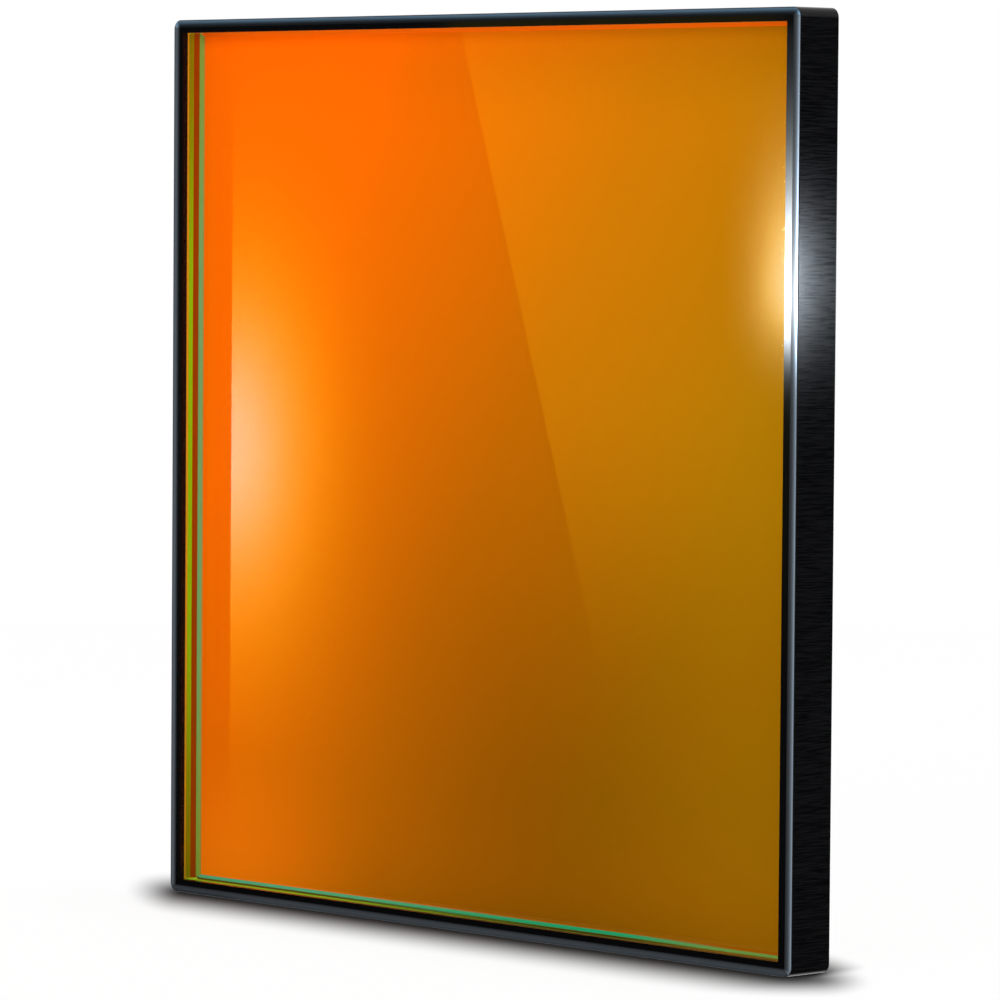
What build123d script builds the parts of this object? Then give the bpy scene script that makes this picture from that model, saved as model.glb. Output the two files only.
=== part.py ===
from build123d import *
import os

# Square astronomy filter: a coated square glass plate held in a thin black rim.
# Millimetres, +Z up. The filter stands on its lower edge, its front (the side that
# shows the rim's lip) faces -Y, and the origin is the middle of its footprint.

# Outside of the rim
FILTER_WIDTH = 50.0
FILTER_HEIGHT = 50.0

# Section of the rim: a wall round the glass and a low lip in front of it, whose reach
# over the glass is a little longer at the sides than at the top and bottom
WALL_THICKNESS = 0.6
LIP_THICKNESS = 0.35
SIDE_LIP_REACH = 0.27
END_LIP_REACH = 0.11
REAR_SETBACK = 0.1

# Soft edges of the rim
FRONT_BEVEL_WIDTH = 0.42
FRONT_BEVEL_DEPTH = 0.08
BEVEL_ROUND = 0.05
FLAT_CORNER_RADIUS = 0.1
REAR_BEVEL = 0.12
POCKET_CORNER_RADIUS = 0.12

# Glass plate: one ground and polished slab, with its edges broken all round
GLASS_THICKNESS = 2.55
GLASS_CLEARANCE = 0.03
CORNER_CLEARANCE = 0.08
FRONT_ARRIS = 0.06
REAR_ARRIS = 0.3

# Places worked out from the sizes above
CORNER_RADIUS = FRONT_BEVEL_WIDTH + FLAT_CORNER_RADIUS
GLASS_CORNER_BREAK = POCKET_CORNER_RADIUS + CORNER_CLEARANCE
FILTER_DEPTH = LIP_THICKNESS + GLASS_THICKNESS + REAR_SETBACK
FRONT_Y = -FILTER_DEPTH / 2
GLASS_FRONT_Y = FRONT_Y + LIP_THICKNESS
GLASS_REAR_Y = GLASS_FRONT_Y + GLASS_THICKNESS
REAR_Y = FRONT_Y + FILTER_DEPTH
MID_HEIGHT = FILTER_HEIGHT / 2
POCKET_WIDTH = FILTER_WIDTH - 2 * WALL_THICKNESS
POCKET_HEIGHT = FILTER_HEIGHT - 2 * WALL_THICKNESS
GLASS_WIDTH = POCKET_WIDTH - 2 * GLASS_CLEARANCE
GLASS_HEIGHT = POCKET_HEIGHT - 2 * GLASS_CLEARANCE
WINDOW_WIDTH = GLASS_WIDTH - 2 * SIDE_LIP_REACH
WINDOW_HEIGHT = GLASS_HEIGHT - 2 * END_LIP_REACH


def upright_plane(y):
    """Give the upright plane at depth y, centred on the filter, that faces the rear."""
    return Plane(origin=(0, y, MID_HEIGHT), x_dir=(1, 0, 0), z_dir=(0, 1, 0))


def slab(width, height, corner_radius, start_y, end_y):
    """Make an upright slab with rounded corners between two depths."""
    outline = RectangleRounded(width, height, corner_radius)
    return extrude(upright_plane(start_y) * outline, amount=end_y - start_y)


def face_at(part, y):
    """Pick the flat face of a part that lies at depth y."""
    return part.faces().filter_by(Plane.XZ).filter_by_position(Axis.Y, y, y)[0]


def make_rim():
    """Make the rim: a rounded square ring with a pocket for the glass behind a lip."""
    ring = slab(FILTER_WIDTH, FILTER_HEIGHT, CORNER_RADIUS, FRONT_Y, REAR_Y)

    # The front edge falls away as a wide, shallow bevel, and its outer line is eased.
    front = face_at(ring, FRONT_Y)
    ring = chamfer(front.edges(), FRONT_BEVEL_WIDTH, FRONT_BEVEL_DEPTH, reference=front)
    bevel_y = FRONT_Y + FRONT_BEVEL_DEPTH
    outer_line = ring.edges().filter_by_position(Axis.Y, bevel_y, bevel_y)
    ring = fillet(outer_line, BEVEL_ROUND)

    # The rear edge has a plain small bevel.
    ring = chamfer(face_at(ring, REAR_Y).edges(), REAR_BEVEL)

    pocket = slab(POCKET_WIDTH, POCKET_HEIGHT, POCKET_CORNER_RADIUS, GLASS_FRONT_Y, REAR_Y)
    window = upright_plane(FRONT_Y) * Rectangle(WINDOW_WIDTH, WINDOW_HEIGHT)
    return ring - pocket - extrude(window, amount=LIP_THICKNESS)


def make_glass():
    """Make the glass plate that seats on the rear of the lip."""
    outline = chamfer(Rectangle(GLASS_WIDTH, GLASS_HEIGHT).vertices(), GLASS_CORNER_BREAK)
    plate = extrude(upright_plane(GLASS_FRONT_Y) * outline, amount=GLASS_THICKNESS)
    plate = chamfer(face_at(plate, GLASS_FRONT_Y).edges(), FRONT_ARRIS)
    return chamfer(face_at(plate, GLASS_REAR_Y).edges(), REAR_ARRIS)


os.makedirs("parts", exist_ok=True)
export_step(make_rim(), "parts/black_rim.step")
export_step(make_glass(), "parts/glass_plate.step")
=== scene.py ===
"""Looks of a square astronomy filter: a coated glass plate in a thin black rim."""
import logging
import math
from dataclasses import dataclass, field
from enum import Enum

import bmesh
import bpy
from mathutils import Matrix, Vector


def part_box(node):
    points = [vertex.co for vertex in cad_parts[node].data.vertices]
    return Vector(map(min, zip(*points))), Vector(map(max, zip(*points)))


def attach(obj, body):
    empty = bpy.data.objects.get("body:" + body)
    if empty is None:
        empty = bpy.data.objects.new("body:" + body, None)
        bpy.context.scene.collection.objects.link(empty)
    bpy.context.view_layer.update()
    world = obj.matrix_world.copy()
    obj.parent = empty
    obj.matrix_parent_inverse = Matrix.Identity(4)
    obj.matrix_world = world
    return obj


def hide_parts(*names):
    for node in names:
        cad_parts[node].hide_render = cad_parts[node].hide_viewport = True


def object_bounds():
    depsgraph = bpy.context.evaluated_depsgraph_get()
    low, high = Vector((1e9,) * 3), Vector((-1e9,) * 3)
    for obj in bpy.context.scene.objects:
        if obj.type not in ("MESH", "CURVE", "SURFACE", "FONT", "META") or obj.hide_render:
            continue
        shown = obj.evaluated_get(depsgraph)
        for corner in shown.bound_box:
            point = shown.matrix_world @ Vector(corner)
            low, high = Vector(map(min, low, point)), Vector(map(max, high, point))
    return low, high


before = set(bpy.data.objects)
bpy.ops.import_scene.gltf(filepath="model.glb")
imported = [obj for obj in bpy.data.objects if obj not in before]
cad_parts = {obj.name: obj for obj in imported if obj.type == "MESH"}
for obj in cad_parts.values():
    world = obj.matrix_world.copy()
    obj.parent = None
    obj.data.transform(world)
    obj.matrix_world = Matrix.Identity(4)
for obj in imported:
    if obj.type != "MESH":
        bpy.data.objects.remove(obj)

LOG = logging.getLogger("filter")
CAD_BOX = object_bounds()
MM = 0.001

Socket = bpy.types.NodeSocket
Colour = tuple[float, float, float]
Pair = tuple[float, float]
Stops = list[tuple[float, Colour]]


class Falloff(Enum):
    """How the light of a reflector panel fades over its face."""

    EVEN = "even"
    FADES_AT_ENDS = "fades at ends"
    FROM_ONE_SIDE = "from one side"
    ROUND = "round"
    STREAK = "streak"


class NodeSheet:
    """A small helper that lays out the nodes of one material, light or world."""

    def __init__(self, tree: bpy.types.NodeTree) -> None:
        """Starts with an empty node tree.

        Args:
            tree: the node tree to fill.
        """
        self.tree = tree
        tree.nodes.clear()

    def add(self, kind: str, **settings: object) -> bpy.types.Node:
        """Adds one node.

        Args:
            kind: the node's type name.
            settings: properties to set on the node.

        Returns:
            The new node.
        """
        node = self.tree.nodes.new(kind)
        for name, value in settings.items():
            setattr(node, name, value)
        return node

    def join(self, source: Socket, target: Socket) -> None:
        """Links an output to an input."""
        self.tree.links.new(source, target)

    def feed(self, target: Socket, value: object) -> None:
        """Links a socket to an input, or sets the input to a plain value.

        Args:
            target: the input socket.
            value: an output socket, a number or a colour.
        """
        if isinstance(value, Socket):
            self.join(value, target)
        elif isinstance(value, tuple) and len(value) == 3 and target.type == "RGBA":
            target.default_value = (*value, 1.0)
        else:
            target.default_value = value

    def math(self, operation: str, first: object, second: object = 0.0) -> Socket:
        """Adds a Math node.

        Args:
            operation: the sum to do.
            first: the first operand.
            second: the second operand.

        Returns:
            The socket with the result.
        """
        node = self.add("ShaderNodeMath", operation=operation)
        self.feed(node.inputs[0], first)
        self.feed(node.inputs[1], second)
        return node.outputs[0]

    def span(self, value: object, low: float, high: float, smooth: bool = True) -> Socket:
        """Maps a value to 0 at low and 1 at high, and holds it there outside.

        Args:
            value: the value to map.
            low: where the result is 0.
            high: where the result is 1.
            smooth: whether the ends are eased.

        Returns:
            The socket with the result.
        """
        kind = "SMOOTHSTEP" if smooth else "LINEAR"
        node = self.add("ShaderNodeMapRange", interpolation_type=kind, clamp=True)
        self.feed(node.inputs["Value"], value)
        flipped = low > high
        node.inputs["From Min"].default_value = min(low, high)
        node.inputs["From Max"].default_value = max(low, high)
        node.inputs["To Min"].default_value = 1.0 if flipped else 0.0
        node.inputs["To Max"].default_value = 0.0 if flipped else 1.0
        return node.outputs["Result"]

    def mix(self, share: object, first: object, second: object, blend: str = "MIX") -> Socket:
        """Mixes two colours.

        Args:
            share: how much of the second colour there is.
            first: the first colour.
            second: the second colour.
            blend: how the two combine.

        Returns:
            The socket with the colour.
        """
        node = self.add("ShaderNodeMix", data_type="RGBA", blend_type=blend)
        # A Mix node's inputs 6 and 7 and its output 2 are the ones for colours.
        self.feed(node.inputs[0], share)
        self.feed(node.inputs[6], first)
        self.feed(node.inputs[7], second)
        return node.outputs[2]

    def ramp(self, value: object, stops: Stops) -> Socket:
        """Adds a colour ramp.

        Args:
            value: the value that runs along the ramp.
            stops: places from 0 to 1 with their colours.

        Returns:
            The socket with the colour.
        """
        node = self.add("ShaderNodeValToRGB")
        elements = node.color_ramp.elements
        while len(elements) < len(stops):
            elements.new(0.5)
        for element, (place, colour) in zip(elements, stops):
            element.position = place
            element.color = (*colour, 1.0)
        self.feed(node.inputs[0], value)
        return node.outputs[0]

    def place(self) -> tuple[Socket, Socket, Socket]:
        """Gives the X, Y and Z of the shaded point in the object's own metres.

        Returns:
            The three sockets.
        """
        where = self.add("ShaderNodeTexCoord")
        split = self.add("ShaderNodeSeparateXYZ")
        self.join(where.outputs["Object"], split.inputs[0])
        return split.outputs[0], split.outputs[1], split.outputs[2]

    def blend_shaders(self, share: object, first: bpy.types.Node, second: bpy.types.Node) -> bpy.types.Node:
        """Mixes two shaders.

        Args:
            share: how much of the second shader there is.
            first: the first shader node.
            second: the second shader node.

        Returns:
            The Mix Shader node.
        """
        node = self.add("ShaderNodeMixShader")
        self.feed(node.inputs[0], share)
        self.join(first.outputs[0], node.inputs[1])
        self.join(second.outputs[0], node.inputs[2])
        return node

    def end(self, shader: bpy.types.Node, kind: str = "ShaderNodeOutputMaterial") -> None:
        """Sends a shader to the output."""
        self.join(shader.outputs[0], self.add(kind).inputs["Surface"])


def direction(azimuth: float, elevation: float) -> Vector:
    """Gives the direction that points away from the filter.

    Args:
        azimuth: degrees from straight in front towards the right.
        elevation: degrees above the floor.

    Returns:
        A unit vector.
    """
    turn, rise = math.radians(azimuth), math.radians(elevation)
    return Vector((math.sin(turn) * math.cos(rise), -math.cos(turn) * math.cos(rise), math.sin(rise)))


def new_material(name: str) -> tuple[bpy.types.Material, NodeSheet]:
    """Makes a material with an empty sheet of nodes.

    Args:
        name: the material's name.

    Returns:
        The material and its sheet.
    """
    material = bpy.data.materials.new(name)
    material.use_nodes = True
    return material, NodeSheet(material.node_tree)


@dataclass(frozen=True)
class ClearFace:
    """The polished front face: sight lines bend as they go in, and lamp light passes straight in."""

    ior: float = 1.5
    mirror_share: float = 0.0003

    def make(self) -> bpy.types.Material:
        """Builds the material.

        Returns:
            The material.
        """
        material, sheet = new_material("clear_front_face")
        bend = sheet.add("ShaderNodeBsdfRefraction")
        bend.inputs["IOR"].default_value = self.ior
        bend.inputs["Roughness"].default_value = 0.0
        mirror = sheet.add("ShaderNodeBsdfGlossy")
        mirror.inputs["Roughness"].default_value = 0.0
        glass = sheet.blend_shaders(self.mirror_share, bend, mirror)
        open_way = sheet.add("ShaderNodeBsdfTransparent")
        path = sheet.add("ShaderNodeLightPath")
        lamps_pass = sheet.math("MAXIMUM", path.outputs["Is Shadow Ray"], path.outputs["Is Diffuse Ray"])
        sheet.end(sheet.blend_shaders(lamps_pass, glass, open_way))
        return material


@dataclass(frozen=True)
class EdgeReflectionBands:
    """The ground edge of the plate, painted with thin coloured bands that stand in for the reflections seen
    in its walls through the glass.
    """

    front_y: float
    rear_y: float
    half_width: float
    low_z: float
    high_z: float
    amber: Colour = (0.90, 0.62, 0.03)
    lime: Colour = (0.34, 0.90, 0.008)
    bright_lime: Colour = (0.50, 1.0, 0.04)
    rust: Colour = (0.40, 0.080, 0.002)
    sea_green: Colour = (0.17, 0.40, 0.145)
    dull_orange: Colour = (0.45, 0.22, 0.030)
    olive: Colour = (0.32, 0.34, 0.004)
    moss: Colour = (0.22, 0.36, 0.05)
    dark_brown: Colour = (0.12, 0.10, 0.008)
    blue_green: Colour = (0.11, 0.50, 0.25)
    dark_olive: Colour = (0.23, 0.31, 0.04)
    deep_teal: Colour = (0.026, 0.47, 0.186)
    leaf: Colour = (0.20, 0.425, 0.08)
    # A painted highlight along the upper edge.
    painted_glint: Colour = (0.80, 0.36, 0.06)
    dull_amber: Colour = (0.45, 0.26, 0.03)
    orange: Colour = (0.95, 0.15, 0.003)
    brown_orange: Colour = (0.42, 0.13, 0.002)
    black: Colour = (0.01, 0.008, 0.002)
    roughness: float = 0.8
    side_ends: Pair = (8 * MM, 24 * MM)
    bottom_turns: Pair = (-16 * MM, 8 * MM)
    bottom_right: Pair = (10 * MM, 20 * MM)

    def side_bands(self) -> list[Stops]:
        """Gives the bands of the upright edges from the front of the plate to its rear.

        Returns:
            The bands at half height and those at the ends.
        """
        middle = [
            (0.000, self.amber), (0.295, self.amber), (0.315, self.lime), (0.540, self.lime),
            (0.555, self.rust), (0.860, self.rust), (0.880, self.sea_green), (0.950, self.sea_green),
            (1.000, self.dull_orange),
        ]
        ends = [
            (0.000, self.amber), (0.250, self.amber), (0.280, self.olive), (0.540, self.olive),
            (0.555, self.rust), (0.860, self.rust), (0.880, self.moss), (0.950, self.moss),
            (1.000, self.dull_orange),
        ]
        return [middle, ends]

    def bottom_bands(self) -> list[Stops]:
        """Gives the bands of the lower edge from the front of the plate to its rear.

        Returns:
            The bands at the left, right of the middle, and at the right end.
        """
        left = [
            (0.000, self.black), (0.150, self.black), (0.200, self.bright_lime),
            (0.850, self.bright_lime), (0.880, self.dark_brown), (0.920, self.dark_brown),
            (0.925, self.blue_green), (0.985, self.blue_green), (0.990, self.orange),
        ]
        middle = [
            (0.000, self.black), (0.200, self.black), (0.250, self.dark_olive), (0.600, self.dark_olive),
            (0.650, self.dark_brown), (0.895, self.dark_brown), (0.900, self.deep_teal),
            (0.965, self.deep_teal), (0.970, self.brown_orange),
        ]
        right = [
            (0.000, self.black), (0.150, self.black), (0.200, self.dull_amber), (0.800, self.dull_amber),
            (0.880, self.leaf), (0.935, self.leaf), (0.945, self.brown_orange),
        ]
        return [left, middle, right]

    def top_bands(self) -> Stops:
        """Gives the bands of the upper edge: a thin pale line painted as a highlight, then the coating's
        own orange.
        """
        return [(0.000, self.painted_glint), (0.905, self.painted_glint), (0.915, self.orange)]

    def make(self) -> bpy.types.Material:
        """Builds the material.

        Returns:
            The material.
        """
        material, sheet = new_material("painted_reflection_edge")
        # Painted reflection: the coloured bands are laid on the edge faces by depth, height and place
        # across.
        x, y, z = sheet.place()
        depth = sheet.span(y, self.front_y, self.rear_y, smooth=False)
        from_side = sheet.math("SUBTRACT", self.half_width, sheet.math("ABSOLUTE", x))
        from_bottom = sheet.math("SUBTRACT", z, self.low_z)
        from_top = sheet.math("SUBTRACT", self.high_z, z)
        from_middle = sheet.math("ABSOLUTE", sheet.math("SUBTRACT", z, (self.low_z + self.high_z) / 2))
        half_height, ends = (sheet.ramp(depth, stops) for stops in self.side_bands())
        left, middle, right = (sheet.ramp(depth, stops) for stops in self.bottom_bands())
        side = sheet.mix(sheet.span(from_middle, *self.side_ends), half_height, ends)
        bottom = sheet.mix(sheet.span(x, *self.bottom_turns), left, middle)
        bottom = sheet.mix(sheet.span(x, *self.bottom_right), bottom, right)
        colour = sheet.mix(sheet.math("LESS_THAN", from_bottom, from_side), side, bottom)
        top = sheet.ramp(depth, self.top_bands())
        colour = sheet.mix(sheet.math("LESS_THAN", from_top, from_side), colour, top)
        surface = sheet.add("ShaderNodeBsdfPrincipled")
        sheet.feed(surface.inputs["Base Color"], colour)
        surface.inputs["Roughness"].default_value = self.roughness
        surface.inputs["Specular IOR Level"].default_value = 0.0
        sheet.end(surface)
        return material


@dataclass(frozen=True)
class InterferenceCoating:
    """The coated rear face, red-orange in one upper corner and amber-brown in the other."""

    half_width: float
    middle_z: float
    flame: Colour = (1.0, 0.150, 0.0008)
    tangerine: Colour = (0.90, 0.150, 0.0008)
    amber: Colour = (0.57, 0.150, 0.0010)
    olive: Colour = (0.370, 0.150, 0.0010)
    umber: Colour = (0.325, 0.150, 0.0012)
    # Painted light: a brighter red along the lower edge, most at the left.
    painted_light_foot: Colour = (1.0, 0.210, 0.003)
    # Painted shade: a darker, browner pool near the lower middle.
    shade_pool: Colour = (0.68, 0.62, 0.60)
    brow: Colour = (0.89, 0.96, 1.0)
    gold_sheen: Colour = (1.0, 0.85, 0.45)
    ior: float = 1.5
    rise_share: float = 0.35
    cross_share: float = 0.59
    slope_end: float = 0.9
    shade_pool_middle: Pair = (3 * MM, 7.6 * MM)
    shade_pool_reach: Pair = (15 * MM, 18 * MM)
    painted_light_across: Pair = (-8 * MM, -24 * MM)
    painted_light_upward: Pair = (9 * MM, 0.5 * MM)
    painted_light_share: float = 0.85
    painted_light_everywhere: float = 0.08
    brow_across: Pair = (-14 * MM, -4 * MM)
    brow_upward: Pair = (43 * MM, 48 * MM)

    def make(self) -> bpy.types.Material:
        """Builds the material.

        Returns:
            The material.
        """
        material, sheet = new_material("interference_coating")
        x, _, z = sheet.place()
        across = sheet.math("DIVIDE", x, self.half_width)
        up = sheet.math("DIVIDE", sheet.math("SUBTRACT", z, self.middle_z), self.half_width)
        # The colour runs from red-orange at the upper left to dark amber-brown at the lower right.
        rise = sheet.math("MULTIPLY", up, self.rise_share)
        slope = sheet.math("SUBTRACT", rise, sheet.math("MULTIPLY", across, self.cross_share))
        warmth = sheet.span(slope, -self.slope_end, self.slope_end, smooth=False)
        diagonal_colour = sheet.ramp(
            warmth,
            [
                (0.0, self.umber),
                (0.24, self.olive),
                (0.50, self.amber),
                (0.74, self.tangerine),
                (0.80, self.flame),
            ],
        )
        # Painted shade near the lower middle.
        colour = sheet.mix(self.shade_pool_share(sheet, x, z), diagonal_colour, self.shade_pool, blend="MULTIPLY")
        # Painted light along the lower edge, strongest at the left, and a little all along it.
        leftward = sheet.math("MULTIPLY", sheet.span(x, *self.painted_light_across), self.painted_light_share)
        leftward = sheet.math("ADD", leftward, self.painted_light_everywhere)
        low = sheet.math("MULTIPLY", leftward, sheet.span(z, *self.painted_light_upward))
        colour = sheet.mix(low, colour, self.painted_light_foot)
        # A little less red near the top edge, left of the middle.
        high = sheet.math("MULTIPLY", sheet.span(x, *self.brow_across), sheet.span(z, *self.brow_upward))
        colour = sheet.mix(high, colour, self.brow, blend="MULTIPLY")
        surface = sheet.add("ShaderNodeBsdfPrincipled")
        sheet.feed(surface.inputs["Base Color"], colour)
        surface.inputs["Roughness"].default_value = 0.0
        surface.inputs["IOR"].default_value = self.ior
        sheet.feed(surface.inputs["Specular Tint"], self.gold_sheen)
        sheet.end(surface)
        return material

    def shade_pool_share(self, sheet: NodeSheet, x: Socket, z: Socket) -> Socket:
        """Gives how deep the painted shade near the lower middle is.

        Args:
            sheet: the sheet to add nodes to.
            x: the place across the plate.
            z: the height.

        Returns:
            A socket from 0 outside the pool to 1 in its middle.
        """
        middle_x, middle_z = self.shade_pool_middle
        reach_x, reach_z = self.shade_pool_reach
        sideways = sheet.math("DIVIDE", sheet.math("SUBTRACT", x, middle_x), reach_x)
        upward = sheet.math("DIVIDE", sheet.math("SUBTRACT", z, middle_z), reach_z)
        squared = sheet.math("ADD", sheet.math("POWER", sideways, 2.0), sheet.math("POWER", upward, 2.0))
        return sheet.math("EXPONENT", sheet.math("MULTIPLY", squared, -1.0))


@dataclass(frozen=True)
class BlackAnodised:
    """Black metal: glossy in front, with a painted pale highlight along its front edge that is also more
    metallic and so reflects the lamps, and finely lined along its edge faces.
    """

    half_width: float
    height: float
    front_y: float
    bevel_width: float = 0.42 * MM
    bevel_depth: float = 0.08 * MM
    black: Colour = (0.0026, 0.0027, 0.0031)
    brushed: Colour = (0.0085, 0.0088, 0.0098)
    # Painted highlights along the front edge, the top one bluer.
    edge_highlight: Colour = (0.175, 0.205, 0.235)
    top_edge_highlight: Colour = (0.22, 0.38, 0.54)
    line_pitch: float = 0.06 * MM
    edge_round: float = 0.05 * MM
    # Reach and strength of the painted edge highlight on the left, and its fade on the other sides.
    left_highlight_reach: float = 0.64 * MM
    left_highlight_middle: float = 0.26 * MM
    left_highlight_share: float = 0.57
    low_fade: float = 0.9
    right_fade: float = 2.2
    top_fade: float = 3.0
    front_roughness: float = 0.035
    edge_roughness: float = 0.13
    line_roughness: float = 0.07
    line_stretch: float = 25.0
    line_contrast: Pair = (0.3, 0.7)
    specular_level: float = 0.12
    highlight_seam: Pair = (1.08, 0.98)
    line_seam: Pair = (1.0, 1.5)
    top_dark_line: Pair = (0.6, 1.6)

    def make(self) -> bpy.types.Material:
        """Builds the material.

        Returns:
            The material.
        """
        material, sheet = new_material("black_anodised_rim")
        x, y, z = sheet.place()
        seam_start, seam_end = (self.front_y + share * self.bevel_depth for share in self.line_seam)
        on_edge_face = sheet.span(y, seam_start, seam_end)
        lines = sheet.math("MULTIPLY", self.lines(sheet, x, y, z), on_edge_face)
        edge_highlight_share = self.painted_edge_highlight(sheet, x, y, z)
        surface = sheet.add("ShaderNodeBsdfPrincipled")
        # Painted highlight along the front edge, bluer along the top; the same band is made metallic, so it
        # also reflects the lamps.
        on_top = sheet.math("GREATER_THAN", z, self.height - self.bevel_width)
        edge = sheet.mix(on_top, self.edge_highlight, self.top_edge_highlight)
        colour = sheet.mix(edge_highlight_share, sheet.mix(lines, self.black, self.brushed), edge)
        sheet.feed(surface.inputs["Base Color"], colour)
        sheet.feed(surface.inputs["Metallic"], edge_highlight_share)
        surface.inputs["Specular IOR Level"].default_value = self.specular_level
        lined = sheet.math("MULTIPLY", lines, self.line_roughness)
        satin = sheet.math("ADD", self.edge_roughness - self.front_roughness, lined)
        rough = sheet.math("ADD", self.front_roughness, sheet.math("MULTIPLY", on_edge_face, satin))
        sheet.feed(surface.inputs["Roughness"], rough)
        sheet.end(surface)
        return material

    def lines(self, sheet: NodeSheet, x: Socket, y: Socket, z: Socket) -> Socket:
        """Gives the fine lines that run across the thickness of the rim.

        Args:
            sheet: the sheet to add nodes to.
            x: the place across the rim.
            y: the depth.
            z: the height.

        Returns:
            A socket from 0 to 1.
        """
        squeezed = sheet.add("ShaderNodeCombineXYZ")
        sheet.feed(squeezed.inputs[0], sheet.math("DIVIDE", x, self.line_pitch))
        sheet.feed(squeezed.inputs[1], sheet.math("DIVIDE", y, self.line_stretch * self.line_pitch))
        sheet.feed(squeezed.inputs[2], sheet.math("DIVIDE", z, self.line_pitch))
        grain = sheet.add("ShaderNodeTexNoise")
        sheet.join(squeezed.outputs[0], grain.inputs["Vector"])
        grain.inputs["Scale"].default_value = 1.0
        grain.inputs["Detail"].default_value = 3.0
        return sheet.span(grain.outputs["Fac"], *self.line_contrast)

    def painted_edge_highlight(self, sheet: NodeSheet, x: Socket, y: Socket, z: Socket) -> Socket:
        """Gives how strong the painted highlight along the front edge is, each of its four sides with its
        own fade.

        Args:
            sheet: the sheet to add nodes to.
            x: the place across the rim.
            y: the depth.
            z: the height.

        Returns:
            A socket from 0 to 1.
        """
        from_left = sheet.math("ADD", self.half_width, x)
        from_right = sheet.math("SUBTRACT", self.half_width, x)
        from_top = sheet.math("SUBTRACT", self.height, z)
        fades = ((z, self.low_fade), (from_right, self.right_fade), (from_top, self.top_fade))
        low, right, top = (
            sheet.math("POWER", sheet.span(distance, self.bevel_width, 0.0, smooth=False), fade)
            for distance, fade in fades
        )
        dark_start, dark_end = (share * self.edge_round for share in self.top_dark_line)
        top = sheet.math("MULTIPLY", top, sheet.span(from_top, dark_start, dark_end))
        left = sheet.math(
            "MULTIPLY",
            sheet.span(from_left, -dark_end, self.left_highlight_middle),
            sheet.span(from_left, self.left_highlight_reach, self.left_highlight_middle),
        )
        left = sheet.math("MULTIPLY", left, self.left_highlight_share)
        share = sheet.math("MAXIMUM", sheet.math("MAXIMUM", low, right), sheet.math("MAXIMUM", top, left))
        across = sheet.math("MINIMUM", from_left, from_right)
        outer = sheet.math("MINIMUM", across, sheet.math("MINIMUM", z, from_top))
        share = sheet.math("MULTIPLY", share, sheet.span(outer, 0.0, self.edge_round))
        seam_start, seam_end = (self.front_y + share * self.bevel_depth for share in self.highlight_seam)
        in_front = sheet.span(y, seam_start, seam_end)
        return sheet.math("MULTIPLY", share, in_front)


@dataclass
class FilterGlass:
    """The glass plate, built as one closed slab with its edges broken."""

    corner_break: float = 0.2 * MM
    front_arris: float = 0.06 * MM
    rear_arris: float = 0.3 * MM
    low: Vector = field(default_factory=lambda: Vector(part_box("glass_plate")[0]))
    high: Vector = field(default_factory=lambda: Vector(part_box("glass_plate")[1]))

    def outline(self, inset: float, y: float) -> list[Vector]:
        """Gives the eight corners of the plate's outline at one depth.

        Args:
            inset: how far the outline stands in from the plate's edge.
            y: the depth.

        Returns:
            The corners in order.
        """
        half = (self.high.x - self.low.x) / 2 - inset
        middle = (self.high.z + self.low.z) / 2
        rise = (self.high.z - self.low.z) / 2 - inset
        cut = self.corner_break - inset * (2 - math.sqrt(2))
        corners = []
        for sx, sz in ((1, 1), (-1, 1), (-1, -1), (1, -1)):
            beside = Vector((sx * half, y, middle + sz * (rise - cut)))
            above = Vector((sx * (half - cut), y, middle + sz * rise))
            corners += [beside, above] if sx == sz else [above, beside]
        return corners

    def build(self) -> bpy.types.Object:
        """Builds the slab, with its faces sorted for three slots: front, edge and rear.

        Returns:
            The slab's object.
        """
        levels = [
            self.outline(self.front_arris, self.low.y),
            self.outline(0.0, self.low.y + self.front_arris),
            self.outline(0.0, self.high.y - self.rear_arris),
            self.outline(self.rear_arris, self.high.y),
        ]
        work = bmesh.new()
        rings = [[work.verts.new(corner) for corner in level] for level in levels]
        front = work.faces.new(rings[0])
        front.material_index = 0
        rear = work.faces.new(rings[-1])
        rear.material_index = 2
        for index, (near, far) in enumerate(zip(rings, rings[1:])):
            for side in range(8):
                after = (side + 1) % 8
                wall = work.faces.new((near[side], near[after], far[after], far[side]))
                wall.material_index = 0 if index == 0 else 1
        bmesh.ops.recalc_face_normals(work, faces=work.faces)
        mesh = bpy.data.meshes.new("filter_glass")
        work.to_mesh(mesh)
        work.free()
        slab = bpy.data.objects.new("filter_glass", mesh)
        bpy.context.collection.objects.link(slab)
        return slab

    def dress(self, slab: bpy.types.Object) -> None:
        """Gives the slab its three finishes.

        Args:
            slab: the plate's object.
        """
        middle_z = (self.low.z + self.high.z) / 2
        slab.data.materials.append(ClearFace().make())
        bands = EdgeReflectionBands(self.low.y, self.high.y, self.high.x, self.low.z, self.high.z)
        slab.data.materials.append(bands.make())
        slab.data.materials.append(InterferenceCoating(self.high.x, middle_z).make())

    def make(self) -> bpy.types.Object:
        """Builds and dresses the plate, and puts it in the frame.

        Returns:
            The plate's object.
        """
        slab = self.build()
        self.dress(slab)
        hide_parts("glass_plate")
        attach(slab, "root")
        return slab


@dataclass
class BlackRim:
    """The rim, whose CAD solid keeps its shape and gets its finish here."""

    node: str = "black_rim"

    def make(self) -> bpy.types.Object:
        """Dresses the rim.

        Returns:
            The rim's object.
        """
        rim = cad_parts[self.node]
        low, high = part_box(self.node)
        finish = BlackAnodised(high[0], high[2], low[1]).make()
        for index in range(len(rim.material_slots)):
            rim.material_slots[index].material = finish
        return rim


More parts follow.
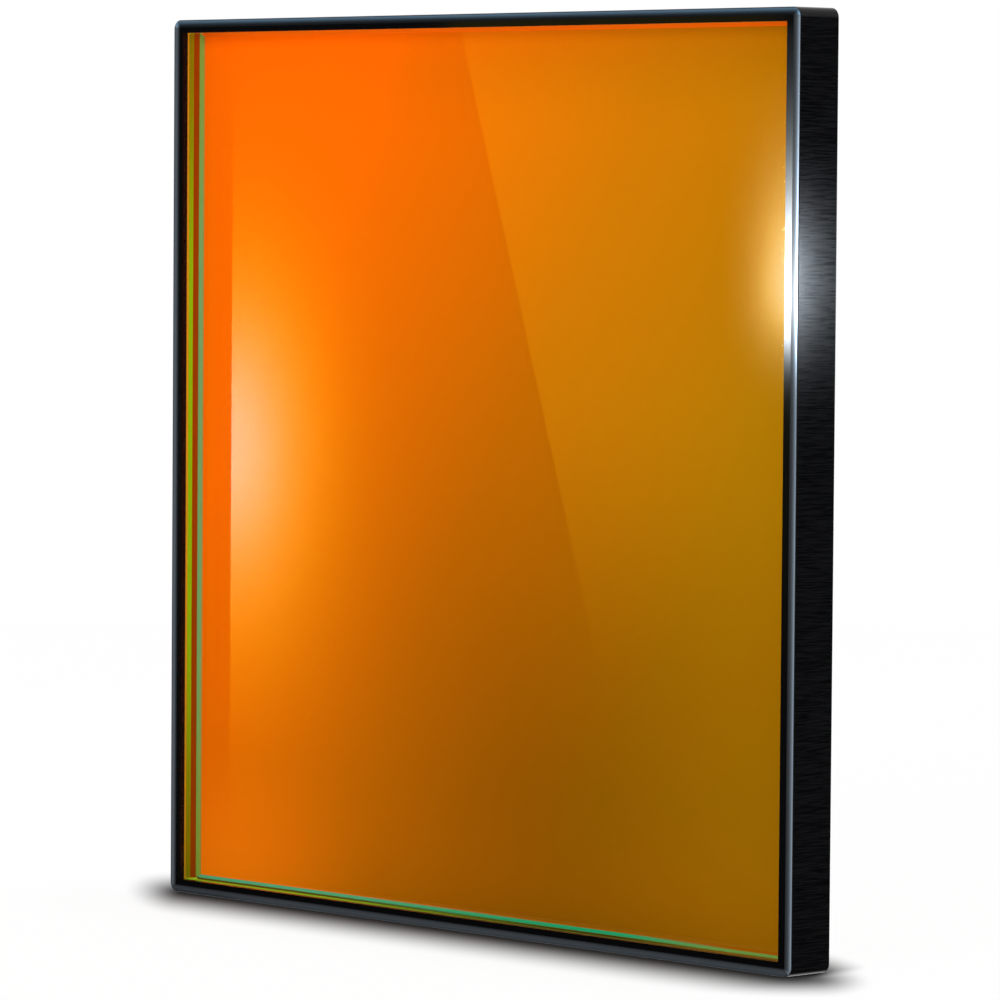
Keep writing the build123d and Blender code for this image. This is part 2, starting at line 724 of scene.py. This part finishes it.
@dataclass(frozen=True)
class StudioCamera:
    """A long lens at the photograph's viewing angle."""

    azimuth: float = 47.09
    elevation: float = 3.01
    roll: float = 0.42
    distance: float = 330.6 * MM
    focal_length: float = 218.66
    aim: tuple[float, float, float] = (1.13 * MM, 0.0, 23.62 * MM)

    def make(self) -> bpy.types.Object:
        """Puts the camera in the scene.

        Returns:
            The camera's object.
        """
        back = direction(self.azimuth, self.elevation)
        data = bpy.data.cameras.new("studio_camera")
        data.lens = self.focal_length
        data.sensor_width = 36.0
        camera = bpy.data.objects.new("studio_camera", data)
        aimed = back.to_track_quat("Z", "Y").to_matrix().to_4x4()
        rolled = aimed @ Matrix.Rotation(math.radians(self.roll), 4, "Z")
        camera.matrix_world = Matrix.Translation(Vector(self.aim) + back * self.distance) @ rolled
        bpy.context.collection.objects.link(camera)
        bpy.context.scene.camera = camera
        return camera


@dataclass(frozen=True)
class Panel:
    """A light or dark panel round the filter, which shows only in its gloss and through its glass."""

    name: str
    azimuth: float
    elevation: float
    distance: float
    width: float
    height: float
    colour: Colour = (1.0, 1.0, 1.0)
    core: Colour = (0.0, 0.0, 0.0)
    strength: float = 1.0
    falloff: Falloff = Falloff.EVEN
    tail: float = 1.0
    slant: float = 0.0
    aim: tuple[float, float, float] = (0.0, 0.0, 25 * MM)
    top_fade: Pair = (0.48, 0.29)
    bottom_fade: Pair = (-0.44, -0.02)
    round_parts: float = 6.0
    side_parts: float = 3.4
    streak_parts: float = 18.0
    core_power: float = 3.0

    def make(self) -> bpy.types.Object:
        """Puts the panel in the scene, facing what it aims at.

        Returns:
            The panel's object.
        """
        away = direction(self.azimuth, self.elevation)
        mesh = bpy.data.meshes.new(self.name)
        half_w, half_h = self.width / 2, self.height / 2
        low_w, high_w = half_w - self.slant / 2, half_w + self.slant / 2
        corners = [(-half_w, -half_h, 0), (low_w, -half_h, 0), (high_w, half_h, 0), (-half_w, half_h, 0)]
        mesh.from_pydata(corners, [], [(0, 1, 2, 3)])
        panel = bpy.data.objects.new(self.name, mesh)
        facing = (-away).to_track_quat("Z", "Y").to_matrix().to_4x4()
        panel.matrix_world = Matrix.Translation(Vector(self.aim) + away * self.distance) @ facing
        bpy.context.collection.objects.link(panel)
        mesh.materials.append(self.light())
        panel.visible_camera = False
        panel.visible_diffuse = False
        panel.visible_shadow = False
        return panel

    @property
    def sigma(self) -> float:
        """Gives how far a round light spreads downward, so that its upper tail still fits the panel."""
        return self.height / (self.round_parts * self.tail)

    def share(self, sheet: NodeSheet) -> object:
        """Gives how bright the panel is over its face.

        Args:
            sheet: the sheet to add nodes to.

        Returns:
            A socket from 0 to 1, or the number 1.
        """
        x, y, _ = sheet.place()
        if self.falloff is Falloff.FADES_AT_ENDS:
            top = sheet.span(y, *(self.height * share for share in self.top_fade))
            bottom = sheet.span(y, *(self.height * share for share in self.bottom_fade))
            return sheet.math("MULTIPLY", top, bottom)
        if self.falloff is Falloff.FROM_ONE_SIDE:
            from_side = sheet.math("SUBTRACT", x, self.width / 2)
            inwards = sheet.math("DIVIDE", from_side, self.width / self.side_parts)
            upward = sheet.math("DIVIDE", y, self.height / self.round_parts)
            spread = sheet.math("ADD", sheet.math("POWER", inwards, 2.0), sheet.math("POWER", upward, 2.0))
            return sheet.math("EXPONENT", sheet.math("MULTIPLY", spread, -0.5))
        if self.falloff is Falloff.ROUND:
            sideways = sheet.math("POWER", sheet.math("DIVIDE", x, self.width / self.round_parts), 2.0)
            above = sheet.math("DIVIDE", sheet.math("MAXIMUM", y, 0.0), self.tail)
            reach = sheet.math("ADD", above, sheet.math("MINIMUM", y, 0.0))
            upward = sheet.math("POWER", sheet.math("DIVIDE", reach, self.sigma), 2.0)
            spread = sheet.math("ADD", sideways, upward)
            return sheet.math("EXPONENT", sheet.math("MULTIPLY", spread, -0.5))
        if self.falloff is Falloff.STREAK:
            reach = self.height / self.streak_parts
            below = sheet.math("POWER", sheet.math("DIVIDE", sheet.math("MINIMUM", y, 0.0), reach), 2.0)
            above = sheet.math("DIVIDE", sheet.math("MAXIMUM", y, 0.0), reach * self.tail)
            spread = sheet.math("ADD", sheet.math("MULTIPLY", below, 0.5), above)
            return sheet.math("EXPONENT", sheet.math("MULTIPLY", spread, -1.0))
        return 1.0

    def light(self) -> bpy.types.Material:
        """Builds the panel's own light, which is clear where it fades out.

        Returns:
            The material.
        """
        material, sheet = new_material(self.name)
        share = self.share(sheet)
        colour = self.colour
        if any(self.core):
            colour = sheet.mix(sheet.math("POWER", share, self.core_power), self.colour, self.core)
        glow = sheet.add("ShaderNodeEmission")
        sheet.feed(glow.inputs["Color"], colour)
        if self.falloff is Falloff.EVEN:
            glow.inputs["Strength"].default_value = self.strength
            sheet.end(glow)
            return material
        sheet.feed(glow.inputs["Strength"], sheet.math("MULTIPLY", share, self.strength))
        clear = sheet.add("ShaderNodeBsdfTransparent")
        both = sheet.add("ShaderNodeAddShader")
        sheet.join(glow.outputs[0], both.inputs[0])
        sheet.join(clear.outputs[0], both.inputs[1])
        sheet.end(both)
        return material


@dataclass(frozen=True)
class Softbox:
    """A plain studio area lamp."""

    name: str
    azimuth: float
    elevation: float
    distance: float
    size: float
    watts: float

    def make(self, aim: Vector) -> bpy.types.Object:
        """Puts the lamp in the scene.

        Args:
            aim: the point that the lamp faces.

        Returns:
            The lamp's object.
        """
        away = direction(self.azimuth, self.elevation)
        data = bpy.data.lights.new(self.name, "AREA")
        data.shape = "DISK"
        data.size = self.size
        data.energy = self.watts
        lamp = bpy.data.objects.new(self.name, data)
        facing = away.to_track_quat("Z", "Y").to_matrix().to_4x4()
        lamp.matrix_world = Matrix.Translation(aim + away * self.distance) @ facing
        bpy.context.collection.objects.link(lamp)
        lamp.visible_glossy = False
        lamp.visible_transmission = False
        return lamp


@dataclass(frozen=True)
class Studio:
    """The pale floor, the white surroundings, the lamps and the panels.

    The contact shadow's two ends are cut along shadow_azimuth, in degrees from straight in front.
    """

    floor_reach: float = 6.0
    paper: Colour = (0.92, 0.92, 0.92)
    world_light: float = 0.35
    sweep_start: float = 0.06
    sweep_end: float = 0.26
    contact_reach: float = 8 * MM
    shadow_azimuth: float = 47.0
    end_inset: float = 0.8 * MM
    end_squeeze: float = 2.2
    rear_squeeze: float = 1.15
    lit_share: float = 0.93
    corner_blur: float = 1 * MM

    def floor(self) -> bpy.types.Object:
        """Lays the floor: pale paper, mostly lit from within, with a soft contact shadow drawn on it.

        Returns:
            The floor's object.
        """
        reach = self.floor_reach
        mesh = bpy.data.meshes.new("studio_floor")
        corners = [(-reach, -reach, 0), (reach, -reach, 0), (reach, reach, 0), (-reach, reach, 0)]
        mesh.from_pydata(corners, [], [(0, 1, 2, 3)])
        floor = bpy.data.objects.new("studio_floor", mesh)
        bpy.context.collection.objects.link(floor)
        material, sheet = new_material("studio_floor")
        paper = sheet.add("ShaderNodeBsdfDiffuse")
        sheet.feed(paper.inputs["Color"], self.paper)
        x, y, _ = sheet.place()
        white = sheet.add("ShaderNodeEmission")
        # The glow of the paper carries the painted contact shadow.
        sheet.feed(white.inputs["Color"], self.painted_contact_shadow(sheet, x, y))
        white.inputs["Strength"].default_value = 1.0
        squared = sheet.math("ADD", sheet.math("POWER", x, 2.0), sheet.math("POWER", y, 2.0))
        far = sheet.span(sheet.math("SQRT", squared), self.sweep_start, self.sweep_end)
        path = sheet.add("ShaderNodeLightPath")
        lit = sheet.math("MAXIMUM", far, self.lit_share)
        share = sheet.math("MULTIPLY", lit, path.outputs["Is Camera Ray"])
        sheet.end(sheet.blend_shaders(share, paper, white))
        mesh.materials.append(material)
        floor.visible_glossy = False
        floor.visible_transmission = False
        return floor

    def painted_contact_shadow(self, sheet: NodeSheet, x: Socket, y: Socket) -> Socket:
        """Gives the painted contact shadow near the filter's foot, a fall-off with distance from the foot.

        Args:
            sheet: the sheet to add nodes to.
            x: the place across the floor.
            y: the place towards the rear.

        Returns:
            A socket from 0 under the filter to 1 away from it.
        """
        front_y, (end_x, rear_y) = float(CAD_BOX[0][1]), map(float, CAD_BOX[1][:2])
        turn = math.radians(self.shadow_azimuth)
        half_span = end_x * math.cos(turn) + rear_y * math.sin(turn) - self.end_inset
        across_x = sheet.math("MULTIPLY", x, math.cos(turn))
        across = sheet.math("ADD", across_x, sheet.math("MULTIPLY", y, math.sin(turn)))
        past_end = sheet.math("SUBTRACT", sheet.math("ABSOLUTE", across), half_span)
        sideways = sheet.math("MULTIPLY", sheet.math("MAXIMUM", past_end, 0.0), self.end_squeeze)
        in_front = sheet.math("MAXIMUM", sheet.math("SUBTRACT", front_y, y), 0.0)
        from_middle = sheet.math("ABSOLUTE", x)
        beside = sheet.span(from_middle, end_x - self.corner_blur, end_x + self.corner_blur)
        rear_line = sheet.math("SUBTRACT", rear_y, sheet.math("MULTIPLY", beside, rear_y - front_y))
        behind = sheet.math("MAXIMUM", sheet.math("SUBTRACT", y, rear_line), 0.0)
        along = sheet.math("ADD", in_front, sheet.math("MULTIPLY", behind, self.rear_squeeze))
        past_corner = sheet.math("MAXIMUM", sheet.math("SUBTRACT", x, end_x), 0.0)
        squared = sheet.math("ADD", sheet.math("POWER", sideways, 2.0), sheet.math("POWER", along, 2.0))
        squared = sheet.math("ADD", squared, sheet.math("POWER", past_corner, 2.0))
        return sheet.span(sheet.math("SQRT", squared), 0.0, self.contact_reach)

    def world(self) -> bpy.types.World:
        """Makes the surroundings: white where they are seen, softer where they only light.

        Returns:
            The world.
        """
        world = bpy.data.worlds.new("studio_world")
        world.use_nodes = True
        sheet = NodeSheet(world.node_tree)
        path = sheet.add("ShaderNodeLightPath")
        seen = sheet.math("MAXIMUM", path.outputs["Is Camera Ray"], path.outputs["Is Glossy Ray"])
        seen = sheet.math("MAXIMUM", seen, path.outputs["Is Transmission Ray"])
        lit = sheet.add("ShaderNodeBackground")
        lit.inputs["Strength"].default_value = self.world_light
        white = sheet.add("ShaderNodeBackground")
        white.inputs["Strength"].default_value = 1.0
        sheet.feed(white.inputs["Color"], (1.0, 1.0, 1.0))
        sheet.feed(lit.inputs["Color"], (1.0, 1.0, 1.0))
        sheet.end(sheet.blend_shaders(seen, lit, white), "ShaderNodeOutputWorld")
        bpy.context.scene.world = world
        return world

    def lamps(self) -> None:
        """Hangs the lamps: one in front of the filter and one above and behind it."""
        aim = Vector((0.0, 0.0, 25 * MM))
        Softbox(
            "front_lamp", azimuth=15.0, elevation=7.0, distance=0.8, size=0.35, watts=3.55,
        ).make(aim)
        Softbox(
            "overhead_lamp", azimuth=180.0, elevation=83.0, distance=0.9, size=0.24, watts=5.3,
        ).make(aim)

    def panels(self) -> None:
        """Stands the panels that show in the glass and the rim."""
        black = (0.0, 0.0, 0.0)
        amber = (0.94, 0.73, 0.02)
        pale_gold = (1.0, 0.85, 0.42)
        cool = (0.80, 0.90, 1.0)
        rim_front = (25 * MM, -1.5 * MM, 35.6 * MM)
        panels = (
            Panel(
                "dark_flag_front", azimuth=-66.0, elevation=-24.0, distance=1.3, width=1.5, height=1.5,
                colour=black, strength=0.0,
            ),
            Panel(
                "dark_flag_side", azimuth=136.0, elevation=-26.0, distance=1.3, width=1.6, height=1.9,
                colour=black, strength=0.0,
            ),
            Panel(
                "dark_flag_below", azimuth=47.0, elevation=-89.0, distance=0.5, width=0.8, height=0.8,
                colour=black, strength=0.0,
            ),
            Panel(
                "leaning_softbox", azimuth=-45.09, elevation=-1.33, distance=1.0, width=55.3 * MM,
                height=182 * MM, slant=40.9 * MM, colour=amber, strength=1.8,
                falloff=Falloff.FADES_AT_ENDS,
            ),
            Panel(
                "left_glow", azimuth=-49.17, elevation=-2.45, distance=0.99, width=44 * MM,
                height=165 * MM, colour=amber, core=cool, strength=12.0, falloff=Falloff.FROM_ONE_SIDE,
            ),
            Panel(
                "right_glow", azimuth=-43.40, elevation=-0.37, distance=0.98, width=29 * MM,
                height=92 * MM, colour=pale_gold, core=cool, strength=18.0, falloff=Falloff.ROUND,
                tail=1.83,
            ),
            Panel(
                "rim_core", azimuth=-43.15, elevation=-0.37, distance=0.97, width=9 * MM,
                height=110 * MM, colour=cool, strength=500.0, falloff=Falloff.STREAK, tail=1.4,
            ),
            Panel(
                "rim_spark", azimuth=-22.7, elevation=-1.0, distance=0.96, width=60 * MM,
                height=130 * MM, colour=cool, strength=80.0, falloff=Falloff.STREAK, tail=1.6,
                aim=rim_front,
            ),
            Panel(
                "rim_strip", azimuth=-22.7, elevation=-3.0, distance=1.1, width=300 * MM,
                height=900 * MM, colour=cool, strength=2.5,
            ),
            Panel(
                "rim_left_strip", azimuth=-78.0, elevation=-2.4, distance=1.0, width=260 * MM,
                height=500 * MM, colour=cool, strength=0.5,
            ),
            Panel(
                "rim_low_strip", azimuth=-52.0, elevation=-27.0, distance=1.0, width=500 * MM,
                height=200 * MM, colour=cool, strength=0.13,
            ),
            Panel(
                "rim_top_strip", azimuth=-49.0, elevation=16.5, distance=1.0, width=500 * MM,
                height=240 * MM, colour=cool, strength=0.45,
            ),
            Panel(
                "side_sheen", azimuth=133.2, elevation=0.0, distance=0.03, width=2.6 * MM,
                height=12 * MM, colour=cool, strength=230.0, falloff=Falloff.ROUND, aim=rim_front,
            ),
        )
        for panel in panels:
            panel.make()

    def make(self) -> None:
        """Sets up the floor, the surroundings, the lamps and the panels."""
        self.floor()
        self.world()
        self.lamps()
        self.panels()
        bpy.context.scene.view_settings.view_transform = "Standard"


def main() -> None:
    """Builds the scene and reports each piece."""
    logging.basicConfig(level=logging.INFO, format="%(name)s: %(message)s")
    StudioCamera().make()
    glass = FilterGlass().make()
    LOG.info("%s: %d faces", glass.name, len(glass.data.polygons))
    rim = BlackRim().make()
    LOG.info("%s: %d faces", rim.name, len(rim.data.polygons))
    Studio().make()


if __name__ == "__main__":
    main()
